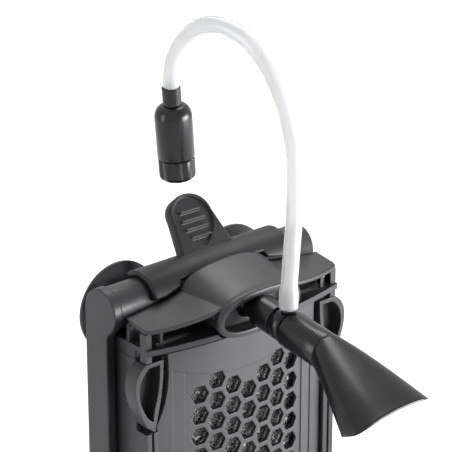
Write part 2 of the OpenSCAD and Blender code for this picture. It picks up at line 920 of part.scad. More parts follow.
// Shell between two depths behind the grille's front face, over its height
module grille_skin(d0, d1) {
    difference() {
        behind_arc(grille_r - d0, grille_crown - d0, grille_foot_z, grille_top_z);
        behind_arc(grille_r - d1, grille_crown - d1, grille_foot_z - over, grille_top_z + over);
    }
}

// Front view of the sunk field: a hanging arc above two straight sides
module field_outline(hw) {
    foot = grille_foot_z + 10;
    difference() {
        translate([-hw, foot])
            square([2 * hw, field_z + 12 - foot]);
        translate([0, field_z + field_r])
            circle(r = field_r, $fn = arc_fn);
    }
}

// Front view of the cut in the grille's top corners
module corner_scoop() {
    top_x = body_hw - 10.1;
    run = bezier_run([
        [top_x, grille_top_z + over], [top_x - 1.4, grille_top_z - 14],
        [top_x + 1.4, grille_top_z - 22], [grille_hw + over, clip_low_z - 1]
    ], 12);
    polygon(concat(run, [[grille_hw + over, clip_low_z - 1], [grille_hw + 3 * over, grille_top_z + over]]));
}

module front_grille() {
    front_limit = front_y - grille_crown - over;
    color(black) difference() {
        union() {
            intersection() {
                grille_skin(0, grille_t);
                block([-grille_hw, front_limit, 0], [grille_hw, rear_y, head_h]);
            }
            // Knuckles of the hinge
            for (s = [-1, 1])
                translate([s * grille_hw, hinge_y, hinge_z])
                    rotate([0, -s * 90, 0])
                        cylinder(r = knuckle_r, h = knuckle_l);
        }
        // Sunk field, in two steps
        for (i = [0, 1])
            intersection() {
                grille_skin(-over, field_depth * (i + 1) / 2);
                along_y(front_limit - over, 0)
                    field_outline(field_hw - i * field_step);
            }
        // Honeycomb
        for (k = [-hex_columns : hex_columns])
            let (lift = abs(k) == 3 ? 0.5 : abs(k) * 0.5)
                for (z = [hex_first_z + lift * hex_pitch : -hex_pitch : hex_last_z])
                    translate([k * hex_column_step, 0, z])
                        rotate([90, 0, 0])
                            cylinder(r = hex_r, h = -front_limit, $fn = 6);
        for (s = [0, 1])
            mirror([s, 0, 0])
                along_y(front_limit - over, 0)
                    corner_scoop();
        // Bores of the knuckles
        for (s = [-1, 1])
            translate([s * (grille_hw + over), hinge_y, hinge_z])
                rotate([0, -s * 90, 0])
                    cylinder(r = pin_r + 0.08, h = knuckle_l + over - 0.6);
    }
}

module hinge_pins() {
    pin_in = knuckle_l - 1;
    color(steel)
        for (s = [-1, 1])
            translate([s * (grille_hw - pin_in), hinge_y, hinge_z])
                rotate([0, s * 90, 0])
                    cylinder(r = pin_r, h = pin_in + run_gap + flange_w - over - 1);
}

// ------------------------------------------------------------------ clips

// Leaf shape of a clip in X and Z, drawn for the right-hand side
function leaf(inset) = let (
    top = clip_top_z - inset,
    x_out = body_hw + 0.2 - inset,
    x_in = body_hw - 7.8 + inset,
    tip_x = body_hw - 2.6,
    tip_z = clip_low_z + 2.6 * inset,
    far = body_hw + 1.36 * clip_bulge + 1 - 1.25 * inset
) concat(
    bezier_run([[x_out, top], [far, top - 4.6], [far - 1.6, top - 14], [tip_x + 1 - 0.4 * inset, tip_z]], 14),
    bezier_run([
        [tip_x - 1 + 0.4 * inset, tip_z], [tip_x - 2.6 + inset, tip_z + 8],
        [x_in + 0.2, top - 14], [x_in, top]
    ], 14),
    [[x_in, top]]
);

module clip(side) {
    color(black)
        mirror([side > 0 ? 0 : 1, 0, 0])
            along_y(front_y, front_y + clip_d)
                difference() {
                    polygon(leaf(0));
                    polygon(leaf(bow_t));
                }
}

module clip_left() {
    clip(-1);
}

module clip_right() {
    clip(1);
}

// ----------------------------------------------------------------- outlet

module outlet_pipe() {
    color(gloss)
        on_pipe()
            difference() {
                union() {
                    sphere(r = ball_r);
                    cylinder(r = neck_r, h = neck_len);
                    translate([0, 0, neck_len - 2])
                        cylinder(r = pipe_r, h = swivel_len - neck_len + 2 - swivel_groove);
                    translate([0, 0, neck_len])
                        cylinder(r = spigot_r, h = swivel_len + spigot_l - neck_len);
                }
                translate([0, 0, -ball_r - over])
                    cylinder(r = neck_r - pipe_wall, h = swivel_len + spigot_l + ball_r + 2 * over);
            }
}

// One cross-section of the nozzle's fan at t from 0, the collar, to 1, the mouth
fan_wall = 1;
fan_sag = 1.2;
fan_steps = 16;
fan_points = 32;
fan_start_y = pipe_ref_y - collar_l * cos(pipe_slope);
fan_start_z = pipe_ref_z - collar_l * sin(pipe_slope);

function fan_power(v, n) = sign(v) * pow(abs(v), 2 / n);

function fan_ring(t, inset) = let (
    hw = collar_r + (fan_hw - collar_r) * pow(t, 0.92) - inset,
    hh = (fan_gap / 2 + fan_wall - collar_r) * (1 - pow(1 - t, 1.25)) + collar_r - inset,
    lean = tan(pipe_slope) * (1 - t),
    n = 2 + 2.4 * t,
    y = fan_start_y - fan_l * t,
    z = fan_start_z - fan_l * t * tan(pipe_slope) - fan_drop * pow(t, 1.35)
) [for (i = [0 : fan_points - 1]) let (
    a = 360 * i / fan_points,
    x = hw * fan_power(cos(a), n),
    up = hh * fan_power(sin(a), n),
    sag = fan_sag * t * (pow(x / hw, 2) - 0.5)
) [x, y - lean * up, z + up + sag]];

// Closed loft through rings of points
module loft(rings) {
    n = len(rings[0]);
    m = len(rings);
    polyhedron(
        points = [for (ring = rings, p = ring) p],
        faces = concat(
            [[for (i = [0 : n - 1]) i]],
            [for (r = [0 : m - 2], i = [0 : n - 1])
                [r * n + i, (r + 1) * n + i, (r + 1) * n + (i + 1) % n, r * n + (i + 1) % n]],
            [[for (i = [n - 1 : -1 : 0]) (m - 1) * n + i]]
        )
    );
}

// Open tube between an outer and an inner run of rings, with flat ends
module shell_loft(outer, inner) {
    n = len(outer[0]);
    m = len(outer);
    k = n * m;
    polyhedron(
        points = concat([for (ring = outer, p = ring) p], [for (ring = inner, p = ring) p]),
        faces = concat(
            [for (r = [0 : m - 2], i = [0 : n - 1])
                [r * n + i, (r + 1) * n + i, (r + 1) * n + (i + 1) % n, r * n + (i + 1) % n]],
            [for (r = [0 : m - 2], i = [0 : n - 1])
                [k + r * n + i, k + r * n + (i + 1) % n, k + (r + 1) * n + (i + 1) % n, k + (r + 1) * n + i]],
            [for (i = [0 : n - 1]) [i, (i + 1) % n, k + (i + 1) % n, k + i]],
            [for (i = [0 : n - 1]) let (e = (m - 1) * n)
                [e + i, k + e + i, k + e + (i + 1) % n, e + (i + 1) % n]]
        )
    );
}

module swivel_collar() {
    color(gloss)
        on_pipe()
            difference() {
                translate([0, 0, swivel_len])
                    cylinder(r = collar_r, h = collar_l - seat_gap);
                translate([0, 0, swivel_len - over])
                    cylinder(r = spigot_r + 0.1, h = collar_l + 2 * over);
                // Pocket for the foot of the air nipple
                rotate([-90 - pipe_slope, 0, 0])
                    translate([0, nipple_y - ball_y, nipple_foot_z - ball_z - seat_gap])
                        cylinder(r = nipple_r + seat_gap, h = collar_r);
            }
}

module jet_nozzle() {
    color(gloss)
        shell_loft(
            [for (i = [0 : fan_steps]) fan_ring(i / fan_steps, 0)],
            [for (i = [0 : fan_steps]) fan_ring(i / fan_steps, fan_wall)]
        );
}

module air_nipple() {
    barb_r = 1.9;
    barb_l = 5;
    color(gloss)
        translate([0, nipple_y, nipple_foot_z]) {
            cylinder(r = nipple_r, h = nipple_h);
            cylinder(r = barb_r, h = nipple_h + barb_l);
        }
}

// -------------------------------------------------------------------- air

function unit(v) = v / norm(v);

// Ring of the hose round a point of its route, square to the route there,
// and at its two ends square to the nipple and to the valve
function hose_ring(i, r) = let (
    last = len(hose_path) - 1,
    ahead = i == 0 ? [0, 0, 1] : i == last ? [sin(valve_lean), 0, -cos(valve_lean)]
        : unit(hose_path[i + 1] - hose_path[i - 1]),
    across = unit(cross([0.2, 1, 0], ahead)),
    up = cross(ahead, across)
) [for (k = [0 : hose_sides - 1]) let (a = 360 * k / hose_sides)
    hose_path[i] + r * (cos(a) * across + sin(a) * up)];

module air_hose() {
    color("#e8ecee", 0.6)
        loft([for (i = [len(hose_path) - 1 : -1 : 0]) hose_ring(i, hose_r)]);
}

// The frame of the valve: Z runs down along it from the end of the hose
module on_valve() {
    translate(valve_top)
        rotate([180, 0, 0])
            rotate([0, valve_lean, 0])
                children();
}

module valve_sleeve() {
    color(gloss)
        on_valve()
            translate([0, 0, seat_gap])
                cylinder(r = sleeve_r, h = sleeve_h);
}

module valve_body() {
    top = sleeve_h + 2 * seat_gap;
    color(gloss)
        on_valve()
            difference() {
                union() {
                    translate([0, 0, top])
                        cylinder(r1 = 4.4, r2 = valve_r, h = shoulder_h);
                    translate([0, 0, top + shoulder_h])
                        cylinder(r = valve_r, h = valve_h - shoulder_h - 2);
                    translate([0, 0, top + valve_h - 2])
                        cylinder(r = valve_r - 1.2, h = 2);
                }
                // Air slot below the shoulder
                translate([0, -valve_r, top + shoulder_h + 3])
                    cube([7, 3, 1.4], center = true);
            }
}

module valve_knob() {
    top = sleeve_h + valve_h + 3 * seat_gap + 0.1;
    flutes = 16;
    color(gloss)
        on_valve()
            difference() {
                translate([0, 0, top])
                    cylinder(r = valve_r, h = knob_h);
                for (i = [0 : flutes - 1])
                    rotate([0, 0, 360 * i / flutes])
                        translate([valve_r + 0.5, 0, top + 1.4])
                            cylinder(r = 0.9, h = knob_h, $fn = 16);
            }
}

// ------------------------------------------------------------------- draw

wall_bracket();
suction_cup_upper_left();
suction_cup_upper_right();
suction_cup_lower_left();
suction_cup_lower_right();
release_lever();
container_shell();
foam_block();
head_deck();
head_cover();
outlet_socket();
pump_cover();
pump_seal();
motor_housing();
motor_end_cap();
stator_core();
coil_winding();
bearing_lower();
bearing_upper();
impeller_shaft();
magnet_rotor();
impeller_wheel();
cable_gland();
hinge_pins();
front_grille();
clip_left();
clip_right();
outlet_pipe();
swivel_collar();
jet_nozzle();
air_nipple();
air_hose();
valve_sleeve();
valve_body();
valve_knob();
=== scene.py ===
"""Looks of the internal aquarium filter: materials, shaped pieces, hose, foam, studio, camera.

Lengths are in mm until a vertex is made, unless a comment says metres.
"""

import json
import math

import bmesh
import bpy
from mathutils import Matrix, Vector


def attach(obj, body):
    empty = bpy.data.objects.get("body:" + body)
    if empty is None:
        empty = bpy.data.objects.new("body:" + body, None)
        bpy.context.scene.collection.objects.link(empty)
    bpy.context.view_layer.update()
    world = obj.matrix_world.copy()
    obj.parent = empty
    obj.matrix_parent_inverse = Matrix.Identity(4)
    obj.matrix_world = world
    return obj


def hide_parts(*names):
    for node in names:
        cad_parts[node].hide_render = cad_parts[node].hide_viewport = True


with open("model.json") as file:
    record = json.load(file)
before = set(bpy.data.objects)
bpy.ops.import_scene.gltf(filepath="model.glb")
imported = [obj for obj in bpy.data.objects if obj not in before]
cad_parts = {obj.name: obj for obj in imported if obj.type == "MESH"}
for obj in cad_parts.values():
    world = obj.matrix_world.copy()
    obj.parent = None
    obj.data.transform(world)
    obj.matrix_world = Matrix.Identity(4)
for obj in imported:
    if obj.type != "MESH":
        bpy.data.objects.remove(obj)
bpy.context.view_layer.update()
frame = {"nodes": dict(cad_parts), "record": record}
NODES = frame["nodes"]
MM = 0.001


def put(name, data):
    """A new object with that data, in the scene."""
    made = bpy.data.objects.new(name, data)
    bpy.context.scene.collection.objects.link(made)
    return made


def aim(thing, at, target):
    """Places a camera or lamp and turns it to its target."""
    thing.location = at
    thing.rotation_mode = "QUATERNION"
    thing.rotation_quaternion = (Vector(target) - Vector(at)).to_track_quat("-Z", "Y")


# ------------------------------------------------------------------ camera

CAMERA_AT = Vector((-484.5, -571.3, 518.0)) * MM
CAMERA_TARGET = Vector((23.955, 25.0, 188.82)) * MM
CAMERA_LENS, CAMERA_SENSOR = 180.64, 36.0
CAMERA_CLIP = (0.05, 20.0)  # metres


def make_camera():
    """The photograph's viewpoint: from the front left and above."""
    data = bpy.data.cameras.new("camera")
    data.sensor_width = CAMERA_SENSOR
    data.lens = CAMERA_LENS
    data.clip_start, data.clip_end = CAMERA_CLIP
    camera = put("camera", data)
    aim(camera, CAMERA_AT, CAMERA_TARGET)
    bpy.context.scene.camera = camera


# --------------------------------------------------------------- materials


def new_material(name):
    """A new node material with its tree and its Principled shader."""
    material = bpy.data.materials.new(name)
    material.use_nodes = True
    tree = material.node_tree
    return material, tree, tree.nodes["Principled BSDF"]


def add(tree, kind, **values):
    """A node of that kind, with its properties and its sockets' plain values set."""
    node = tree.nodes.new(kind)
    for key, value in values.items():
        if hasattr(node, key):
            setattr(node, key, value)
        else:
            node.inputs[key.replace("_", " ")].default_value = value
    return node


def noise(tree, scale, detail=3.0, roughness=0.55):
    """A noise texture in the object's own metres."""
    where = add(tree, "ShaderNodeTexCoord")
    texture = add(tree, "ShaderNodeTexNoise", Scale=scale, Detail=detail, Roughness=roughness)
    tree.links.new(where.outputs["Object"], texture.inputs["Vector"])
    return texture


def spread(tree, texture, low, high, start=0.3, end=0.7):
    """The texture's grey from start to end, stretched to lie between two values."""
    span = add(tree, "ShaderNodeMapRange", From_Min=start, From_Max=end, To_Min=low, To_Max=high)
    tree.links.new(texture.outputs[0], span.inputs["Value"])
    return span


def tint(tree, texture, dark, light, start=0.3, end=0.7):
    """A ramp between two colours that follows the texture."""
    ramp = add(tree, "ShaderNodeValToRGB")
    first, last = ramp.color_ramp.elements
    first.position, first.color = start, (*dark, 1)
    last.position, last.color = end, (*light, 1)
    tree.links.new(texture.outputs[0], ramp.inputs["Fac"])
    return ramp


def relief(tree, shader, texture, strength, distance, normal=None):
    """A bump that follows the texture, over the softened edges where there are any."""
    bump = add(tree, "ShaderNodeBump", Strength=strength, Distance=distance)
    tree.links.new(texture.outputs[0], bump.inputs["Height"])
    if normal:
        tree.links.new(normal.outputs["Normal"], bump.inputs["Normal"])
    tree.links.new(bump.outputs["Normal"], shader.inputs["Normal"])


def dress(tree, shader, tone, gloss):
    """Links a ramp to the shader's colour and a span to its roughness."""
    tree.links.new(tone.outputs["Color"], shader.inputs["Base Color"])
    tree.links.new(gloss.outputs["Result"], shader.inputs["Roughness"])


def plastic(name, dark, light, rough, grain=2600.0, depth=0.05, edge=0.0005, specular=0.5):
    """Moulded plastic: fine grain, slow drift in gloss and tone, softened edges."""
    material, tree, shader = new_material(name)
    tone = tint(tree, noise(tree, 45.0, 4.0), dark, light)
    gloss = spread(tree, noise(tree, 70.0, 5.0, 0.6), *rough)
    dress(tree, shader, tone, gloss)
    shader.inputs["Specular IOR Level"].default_value = specular
    bevel = add(tree, "ShaderNodeBevel", samples=6, Radius=edge)
    relief(tree, shader, noise(tree, grain, 2.0), depth, 0.0002, bevel)
    return material


def rubber(name, dark, light, rough):
    """Soft vinyl or rubber: smooth, with a faint bloom."""
    material, tree, shader = new_material(name)
    tone = tint(tree, noise(tree, 60.0, 6.0, 0.65), dark, light)
    gloss = spread(tree, noise(tree, 90.0, 4.0), *rough)
    dress(tree, shader, tone, gloss)
    relief(tree, shader, noise(tree, 700.0, 3.0), 0.06, 0.0003)
    return material


def metal(name, dark, light, rough, grain):
    """Ground or drawn metal with a brushed direction along Z."""
    material, tree, shader = new_material(name)
    where = add(tree, "ShaderNodeTexCoord")
    squeeze = add(tree, "ShaderNodeMapping", Scale=(1.0, 1.0, 0.05))
    streaks = add(tree, "ShaderNodeTexNoise", Scale=grain)
    tree.links.new(where.outputs["Object"], squeeze.inputs["Vector"])
    tree.links.new(squeeze.outputs["Vector"], streaks.inputs["Vector"])
    dress(tree, shader, tint(tree, streaks, dark, light), spread(tree, streaks, *rough))
    shader.inputs["Metallic"].default_value = 1.0
    return material


# The pores are near-black, the foam's own black deepened by painted shade in the holes; the strands
# are pale grey, a painted highlight.
PORE_BLACK_AND_SHADE, STRAND_PAINTED_HIGHLIGHT = (0.004, 0.004, 0.004), (0.6, 0.6, 0.59)
CELL_SCALE, STRAND_SHARE = 760.0, 0.16


def foam_material():
    """Open-cell foam: dark pores, partly the foam's own black and partly painted shade, and strands
    painted pale as a painted highlight.
    """
    material, tree, shader = new_material("filter_foam")
    where = add(tree, "ShaderNodeTexCoord")
    cells = add(tree, "ShaderNodeTexVoronoi", feature="DISTANCE_TO_EDGE")
    cells.inputs["Scale"].default_value = CELL_SCALE
    tree.links.new(where.outputs["Object"], cells.inputs["Vector"])
    strands = spread(tree, cells, 1.0, 0.0, 0.0, STRAND_SHARE)
    # The ramp paints a painted highlight on the strands and painted shade in the pores, following
    # the cells' distance to their edges.
    ramp = tint(tree, strands, PORE_BLACK_AND_SHADE, STRAND_PAINTED_HIGHLIGHT, 0.3, 0.9)
    tree.links.new(ramp.outputs["Color"], shader.inputs["Base Color"])
    shader.inputs["Roughness"].default_value = 0.32
    relief(tree, shader, strands, 1.0, 0.0012)
    return material


def hose_material():
    """Clear soft PVC, faintly milky."""
    material, tree, shader = new_material("clear_hose")
    haze = tint(tree, noise(tree, 120.0, 3.0), (0.87, 0.88, 0.89), (0.92, 0.925, 0.93))
    tree.links.new(haze.outputs["Color"], shader.inputs["Base Color"])
    shader.inputs["Roughness"].default_value = 0.18
    shader.inputs["IOR"].default_value = 1.38
    shader.inputs["Transmission Weight"].default_value = 0.7
    shader.inputs["Specular IOR Level"].default_value = 0.5
    return material


# For each look: its dark and light tone, its range of roughness, and what else sets it apart
PLASTICS = {
    "matt_black": ((0.02, 0.02, 0.021), (0.028, 0.028, 0.03), (0.38, 0.48), dict(specular=0.42)),
    "lever_black": (
        (0.007, 0.007, 0.0075), (0.011, 0.011, 0.012), (0.42, 0.52), dict(depth=0.08, specular=0.3)
    ),
    "bracket_black": (
        (0.013, 0.013, 0.014), (0.019, 0.019, 0.021), (0.34, 0.44), dict(edge=0.0011, specular=0.42)
    ),
    "gloss_black": (
        (0.006, 0.006, 0.0065), (0.009, 0.009, 0.01), (0.2, 0.28),
        dict(grain=900.0, depth=0.012, edge=0.0004, specular=0.34),
    ),
    # The front grille's black is lighter than the other blacks: painted light for the light that
    # falls on its front.
    "grille_black_painted_lit": (
        (0.036, 0.036, 0.038), (0.046, 0.046, 0.049), (0.36, 0.46), dict(specular=0.46)
    ),
    "inner_plastic": ((0.02, 0.02, 0.022), (0.03, 0.03, 0.033), (0.4, 0.52), {}),
}
RUBBERS = {
    "cup_rubber": ((0.016, 0.016, 0.018), (0.028, 0.028, 0.031), (0.26, 0.38)),
    "seal_rubber": ((0.012, 0.012, 0.012), (0.02, 0.02, 0.02), (0.5, 0.65)),
    "ceramic": ((0.74, 0.74, 0.72), (0.82, 0.82, 0.8), (0.2, 0.3)),
}
METALS = {
    "steel": ((0.5, 0.51, 0.52), (0.62, 0.63, 0.64), (0.2, 0.35), 3000.0),
    "magnet": ((0.05, 0.05, 0.055), (0.08, 0.08, 0.085), (0.4, 0.55), 1500.0),
    "copper": ((0.45, 0.2, 0.08), (0.6, 0.3, 0.14), (0.25, 0.4), 5000.0),
}
MATERIALS = {
    **{name: plastic(name, *look, **rest) for name, (*look, rest) in PLASTICS.items()},
    **{name: rubber(name, *look) for name, look in RUBBERS.items()},
    **{name: metal(name, *look) for name, look in METALS.items()},
    "foam": foam_material(),
    "clear_hose": hose_material(),
}
# The front grille takes the lighter black, which is painted light on its lit face.
NODE_FINISH = {"front_grille": "grille_black_painted_lit"}


def dress_nodes():
    """Gives each CAD node the material of its slot, or its own finish."""
    slot_of = {s["node"]: s["material_slot"] for s in frame["record"]["subparts"]}
    for name, node in NODES.items():
        node.data.materials.clear()
        node.data.materials.append(MATERIALS[NODE_FINISH.get(name, slot_of[name])])


# ------------------------------------------------------------ shape helpers


def lerp(a, b, t):
    """The value a share t of the way from a to b."""
    return a + (b - a) * t


def smooth(v):
    """A soft step from 0 to 1."""
    v = max(0.0, min(1.0, v))
    return v * v * (3 - 2 * v)


def turn_steps(count):
    """Angles once round, from 0."""
    return [2 * math.pi * k / count for k in range(count)]


def oval_points(hw, hh, power, count):
    """Points (x, height) of an oval: an ellipse at power 2, squarer above it."""
    points = []
    for a in turn_steps(count):
        c, q = math.cos(a), math.sin(a)
        x = hw * math.copysign(abs(c) ** (2 / power), c)
        h = hh * math.copysign(abs(q) ** (2 / power), q)
        points.append((x, h))
    return points


def join_rings(bm, one, two):
    """Faces between two closed loops of vertices."""
    for k in range(len(one)):
        n = (k + 1) % len(one)
        bm.faces.new((one[k], one[n], two[n], two[k]))


def skin(bm, rings):
    """Quads through closed rings of points; gives back the rings' vertices."""
    made = [[bm.verts.new(Vector(p) * MM) for p in ring] for ring in rings]
    for one, two in zip(made, made[1:]):
        join_rings(bm, one, two)
    return made


def capped_loft(bm, rings):
    """A closed skin through rings of points, with a face on each end."""
    made = skin(bm, rings)
    bm.faces.new(made[0])
    bm.faces.new(made[-1])


def looped_loft(bm, rings):
    """A closed skin through rings of points, from the last back to the first."""
    made = skin(bm, rings)
    join_rings(bm, made[0], made[-1])


def object_from(bm, name, slot_name, finish=None):
    """Finishes a bmesh as a smooth object with its material."""
    bmesh.ops.recalc_face_normals(bm, faces=bm.faces)
    mesh = bpy.data.meshes.new(name)
    bm.to_mesh(mesh)
    bm.free()
    for face in mesh.polygons:
        face.use_smooth = True
    mesh.materials.append(MATERIALS[finish or slot_name])
    piece = put(name, mesh)
    return piece


def copy_of(node, name, finish):
    """A new object with a copy of a CAD node's mesh, in a finish."""
    mesh = NODES[node].data.copy()
    mesh.materials.clear()
    mesh.materials.append(MATERIALS[finish])
    return put(name, mesh)


def apply_modifiers(piece):
    """Puts the piece's modified mesh in place of its mesh and its modifiers."""
    bpy.context.view_layer.update()
    graph = bpy.context.evaluated_depsgraph_get()
    made = bpy.data.meshes.new_from_object(piece.evaluated_get(graph))
    piece.modifiers.clear()
    piece.data = made


def carve(piece, bm):
    """Cuts the bmesh's solid out of the piece."""
    cutter = object_from(bm, "cutter", "matt_black")
    cut = piece.modifiers.new("cut", "BOOLEAN")
    cut.operation = "DIFFERENCE"
    cut.solver = "EXACT"
    cut.object = cutter
    apply_modifiers(piece)
    bpy.data.objects.remove(cutter)


# -------------------------------------------------------------------- hose

HOSE_PATH = [
    (0, -36.8, 184.19), (0, -37, 191.89), (0.2, -37.8, 204.89), (0.4, -38.7, 217.89),
    (0.4, -39, 229.89), (0.4, -38.6, 239.89), (0.2, -37.3, 248.39), (-0.4, -34.8, 256.89),
    (-1.2, -30.5, 265.89), (-2.4, -24.5, 273.89), (-3.9, -16.8, 279.39), (-5.6, -8, 281.39),
    (-7.1, 0.3, 279.89), (-8.3, 7, 275.39), (-9.2, 11.8, 268.89), (-9.8, 14.4, 261.89),
    (-10, 15, 254.39),
]
HOSE_R, HOSE_BORE = 3.0, 2.0
HOSE_SIDES, HOSE_STEPS = 28, 6
# The end over the nipple: its radius, its length, and the length over which it narrows
FLARE_R, FLARE_L, FLARE_BLEND = 3.45, 6.5, 1.5


def smooth_path(points, steps):
    """Catmull-Rom curve through the points."""
    pts = [Vector(p) for p in points]
    pts = [2 * pts[0] - pts[1], *pts, 2 * pts[-1] - pts[-2]]
    run = []
    for i in range(1, len(pts) - 2):
        a, b, c, d = pts[i - 1 : i + 3]
        for k in range(steps):
            t = k / steps
            run.append(
                0.5 * (2 * b + (c - a) * t + (2 * a - 5 * b + 4 * c - d) * t * t
                       + (3 * b - a - 3 * c + d) * t ** 3)
            )
    run.append(pts[-2])
    return run


def frames_along(run):
    """Two directions square to the run at each of its points, without twist."""
    across = Vector((1, 0, 0))
    made = []
    for i, _ in enumerate(run):
        ahead = (run[min(i + 1, len(run) - 1)] - run[max(i - 1, 0)]).normalized()
        across = (across - across.dot(ahead) * ahead).normalized()
        made.append((across.copy(), ahead.cross(across)))
    return made


def tube_rings(run, radii, sides):
    """Circles square to the run."""
    return [
        [point + r * (math.cos(a) * u + math.sin(a) * v) for a in turn_steps(sides)]
        for point, (u, v), r in zip(run, frames_along(run), radii)
    ]


def make_hose():
    """The clear hose: a real tube with a bore, stretched wider over the nipple."""
    run = smooth_path(HOSE_PATH, HOSE_STEPS)
    gone = 0.0
    widening = []
    for i, point in enumerate(run):
        if i:
            gone += (point - run[i - 1]).length
        share = smooth((FLARE_L + FLARE_BLEND - gone) / FLARE_BLEND)
        widening.append((FLARE_R - HOSE_R) * share)
    bm = bmesh.new()
    wall = skin(bm, tube_rings(run, [HOSE_R + w for w in widening], HOSE_SIDES))
    lining = skin(bm, tube_rings(run, [HOSE_BORE + w for w in widening], HOSE_SIDES))
    join_rings(bm, wall[0], lining[0])
    join_rings(bm, wall[-1], lining[-1])
    hose = object_from(bm, "hose", "clear_hose")
    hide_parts("air_hose")
    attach(hose, "nozzle")


# ------------------------------------------------ head, in the filter's frame

BODY_HW = 45.0
BARREL_HW, BARREL_HH, BARREL_WALL = 18.8, 8.5, 1.5
BARREL_POWER, BARREL_SIDES = 2.4, 96
BORE_DEPTH = 17.5
# Half axes of the small oval that closes the bore and the rear
CORE_HW, CORE_HH = 0.4, 0.2
MOUTH_Y, MOUTH_Z, REAR_Y = -21.5, 177.9, -1.9
SLOPE = math.radians(7)
# The barrel's rim, from its bore to its outside: depth from the mouth, growth of the oval
LIP = [
    (2.0, -1.5), (1.2, -2.1), (-0.3, -2.2), (-0.7, -1.9), (-0.85, -1.2), (-0.85, -0.4),
    (-0.7, 0.15), (-0.2, 0.5), (0.7, 0.55), (1.6, 0.4), (2.1, 0.15), (2.3, 0.0),
]
DOME_HW, DOME_HH = 22.0, 11.2
DOME_START, DOME_ROWS, DOME_COLUMNS = 0.3, 24, 60
# Height of the dome's underside: a share of its top's, less a drop
DOME_UNDER, DOME_DROP = 0.6, 0.5
WING_FOOT, WING_RISE, WING_BEND, WING_T = 1.1, 3.9, 1.4, 1.6
WING_INNER, WING_INNER_H = 15.5, 5.2
# Front edge in plan: where it starts, how far it sweeps back, its corner, its nose
WING_FRONT_Y, WING_SWEEP, WING_CORNER_R, WING_BEHIND_MOUTH = -22.4, 9.0, 1.6, 0.9
WING_NOSE_H = 0.45
WING_STEPS, WING_DEPTH_STEPS = 56, 12
LEDGE_TOP = 172.7
REAR_WALL_T, REAR_WALL_STEPS = 1.6, 28


def base_z(y):
    """Height of the barrel's axis over y."""
    return MOUTH_Z + (y - MOUTH_Y) * math.tan(SLOPE)


def oval_h(x, hw, hh):
    """Half height of the barrel's oval at x."""
    return hh * max(0.0, 1 - (abs(x) / hw) ** BARREL_POWER) ** (1 / BARREL_POWER)


def wing_h(x):
    """Height of the wings over the barrel's axis: a concave sweep up to the barrel."""
    x = abs(x)
    if x < BARREL_HW:
        share = max(0.0, x - WING_INNER) / (BARREL_HW - WING_INNER)
        return lerp(WING_INNER_H, WING_FOOT + WING_RISE, share)
    return WING_FOOT + WING_RISE * ((BODY_HW - x) / (BODY_HW - BARREL_HW)) ** WING_BEND


def dome_size(y):
    """Half width and half height of the dome's oval, which swell to the rear."""
    t = (y - MOUTH_Y) / (REAR_Y - MOUTH_Y)
    return lerp(BARREL_HW, DOME_HW, t), lerp(BARREL_HH, DOME_HH, t)


def dome_z(x, y):
    """Top of the dome."""
    return base_z(y) + oval_h(x, *dome_size(y)) / math.cos(SLOPE)


def wing_z(x, y):
    """Top of the wings."""
    return base_z(y) + wing_h(x) / math.cos(SLOPE)


def cover_z(x, y):
    """Top of the head over a point."""
    return max(wing_z(x, y), dome_z(x, y) if abs(x) < DOME_HW else 0.0)


def oval_ring(hw, hh, depth=0.0, end_y=None):
    """Points of the barrel's oval at a depth from the mouth, or out to a rear plane."""
    ring = []
    for x, v in oval_points(hw, hh, BARREL_POWER, BARREL_SIDES):
        if end_y is not None:
            depth = (end_y - MOUTH_Y + v * math.sin(SLOPE)) / math.cos(SLOPE)
        y = MOUTH_Y + depth * math.cos(SLOPE) - v * math.sin(SLOPE)
        z = MOUTH_Z + depth * math.sin(SLOPE) + v * math.cos(SLOPE)
        ring.append((x, y, z))
    return ring


def wing_front(x):
    """Front edge of the wings in plan, with its corner rounded."""
    y = WING_FRONT_Y + WING_SWEEP * (x / BODY_HW) ** 2
    past = max(0.0, abs(x) - BODY_HW + WING_CORNER_R)
    rounding = math.sqrt(max(0.0, WING_CORNER_R ** 2 - past ** 2))
    return max(y, MOUTH_Y + WING_BEHIND_MOUTH) + WING_CORNER_R - rounding


def barrel_rings():
    """The barrel, from the end of its bore, round its lip, to its rear."""
    rings = [
        oval_ring(CORE_HW, CORE_HH, BORE_DEPTH),
        oval_ring(BARREL_HW - BARREL_WALL, BARREL_HH - BARREL_WALL, BORE_DEPTH),
    ]
    rings += [oval_ring(BARREL_HW + grow, BARREL_HH + grow, depth) for depth, grow in LIP]
    rings.append(oval_ring(BARREL_HW, BARREL_HH, end_y=REAR_Y))
    rings.append(oval_ring(CORE_HW, CORE_HH, end_y=REAR_Y))
    return rings


def dome_rings():
    """The dome: a lid over the barrel, with its underside inside the barrel's wall."""
    rings = []
    for i in range(DOME_ROWS + 1):
        y = lerp(MOUTH_Y + DOME_START, REAR_Y, i / DOME_ROWS)
        hw = dome_size(y)[0] - 0.05
        turns = [math.pi / 2 * lerp(-1, 1, k / DOME_COLUMNS) for k in range(DOME_COLUMNS + 1)]
        xs = [hw * math.sin(a) for a in turns]
        top = [(x, y, dome_z(x, y)) for x in xs]
        under = [
            (x, y, base_z(y) + DOME_UNDER * (z - base_z(y)) - DOME_DROP)
            for x, y, z in reversed(top)
        ]
        rings.append(top + under)
    return rings


